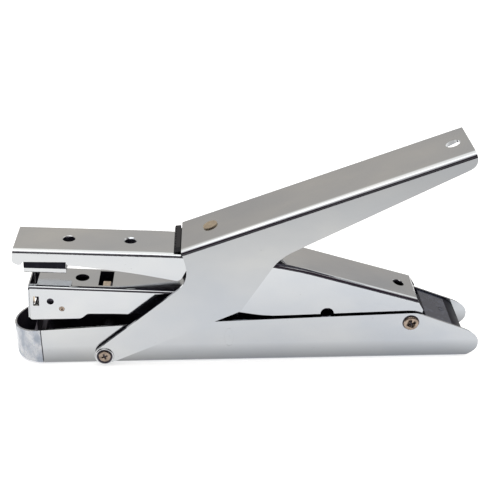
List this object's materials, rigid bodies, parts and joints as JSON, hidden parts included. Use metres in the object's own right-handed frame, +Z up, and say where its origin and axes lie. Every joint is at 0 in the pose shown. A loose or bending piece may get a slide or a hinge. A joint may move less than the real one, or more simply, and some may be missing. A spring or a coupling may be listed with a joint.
{
  "type": "plier stapler",
  "caption": "Hand plier stapler: squeeze lever with two side wings, arched anvil arm and staple magazine hinged on a folded chrome base, black pull-out loader.",
  "frame": {"origin": "on the surface that the stapler stands on, under the middle of its bounding box", "axes": "+X from the nose to the tail, +Z up, +Y to the far side, so that Y = 0 is the middle plane"},
  "size_m": [0.2012, 0.0318, 0.0975],
  "materials": {
    "chrome_sheet": "bright chrome-plated pressed steel with faint scratches and smudges",
    "zinc_sheet": "dull, blotchy zinc plate, slightly blue",
    "nickel_fastener": "warm beige nickel plate",
    "nickel_rail": "warm beige nickel plate, satin",
    "dark_steel": "oiled mild steel, satin",
    "spring_steel": "drawn spring wire",
    "brass_rivet": "brown-tarnished brass, brushed",
    "black_nylon": "moulded black nylon, semi-matt",
    "black_plastic": "glossy black moulded plastic"
  },
  "bodies": {
    "base": {"base_channel": "chrome_sheet", "nose_cap": "zinc_sheet", "driver_block": "dark_steel", "driver_blade": "dark_steel", "driver_rivet_front": "nickel_fastener", "driver_rivet_rear": "nickel_fastener", "handle_axle": "dark_steel", "handle_screw_near": "nickel_fastener", "handle_screw_far": "nickel_fastener", "rear_screw_near": "nickel_fastener", "rear_screw_far": "nickel_fastener", "rear_spacer_near": "dark_steel", "rear_spacer_far": "dark_steel", "wing_washer_near": "dark_steel", "wing_washer_far": "dark_steel", "magazine_spring": "spring_steel"},
    "handle": {"handle_lever": "chrome_sheet", "cam_pad": "black_nylon", "pad_rivet": "brass_rivet"},
    "arm": {"anvil_arm": "chrome_sheet", "anvil_plate": "chrome_sheet", "hinge_bracket": "dark_steel"},
    "magazine": {"magazine_housing": "chrome_sheet", "magazine_front_plate": "chrome_sheet", "magazine_pin": "nickel_fastener", "staple_rail": "nickel_rail", "arm_spring": "spring_steel"},
    "loader": {"end_cap": "black_plastic", "guide_rod": "spring_steel", "follower_spring": "spring_steel"},
    "pusher": {"follower": "dark_steel"}
  },
  "joints": [
    {"name": "handle_pivot", "type": "hinge", "parent": "base", "child": "handle", "pos_m": [-0.0612, 0, 0.0051], "axis": [0, 1, 0], "range_deg": [0, 13], "stiffness_Nm_per_rad": 1.5, "springref_deg": -17.19},
    {"name": "arm_pivot", "type": "hinge", "parent": "base", "child": "arm", "pos_m": [0.0704, 0, 0.0178], "axis": [0, 1, 0], "range_deg": [-5.1, 0], "deforming": ["arm_spring"]},
    {"name": "magazine_pivot", "type": "hinge", "parent": "base", "child": "magazine", "pos_m": [0.0704, 0, 0.0178], "axis": [0, 1, 0], "range_deg": [-2.8, 0], "deforming": ["magazine_spring"]},
    {"name": "loader_slide", "type": "slide", "parent": "magazine", "child": "loader", "axis": [0.998, 0, -0.0636], "range_m": [0, 0.12]},
    {"name": "follower_slide", "type": "slide", "parent": "loader", "child": "pusher", "axis": [0.998, 0, -0.0636], "range_m": [0, 0.1], "stiffness_N_per_m": 20, "springref_m": -0.05, "deforming": ["follower_spring"]}
  ],
  "couplings": [
    {"joint": "arm_pivot", "follows": "handle_pivot", "ratio": -0.39},
    {"joint": "magazine_pivot", "follows": "handle_pivot", "ratio": -0.215}
  ]
}
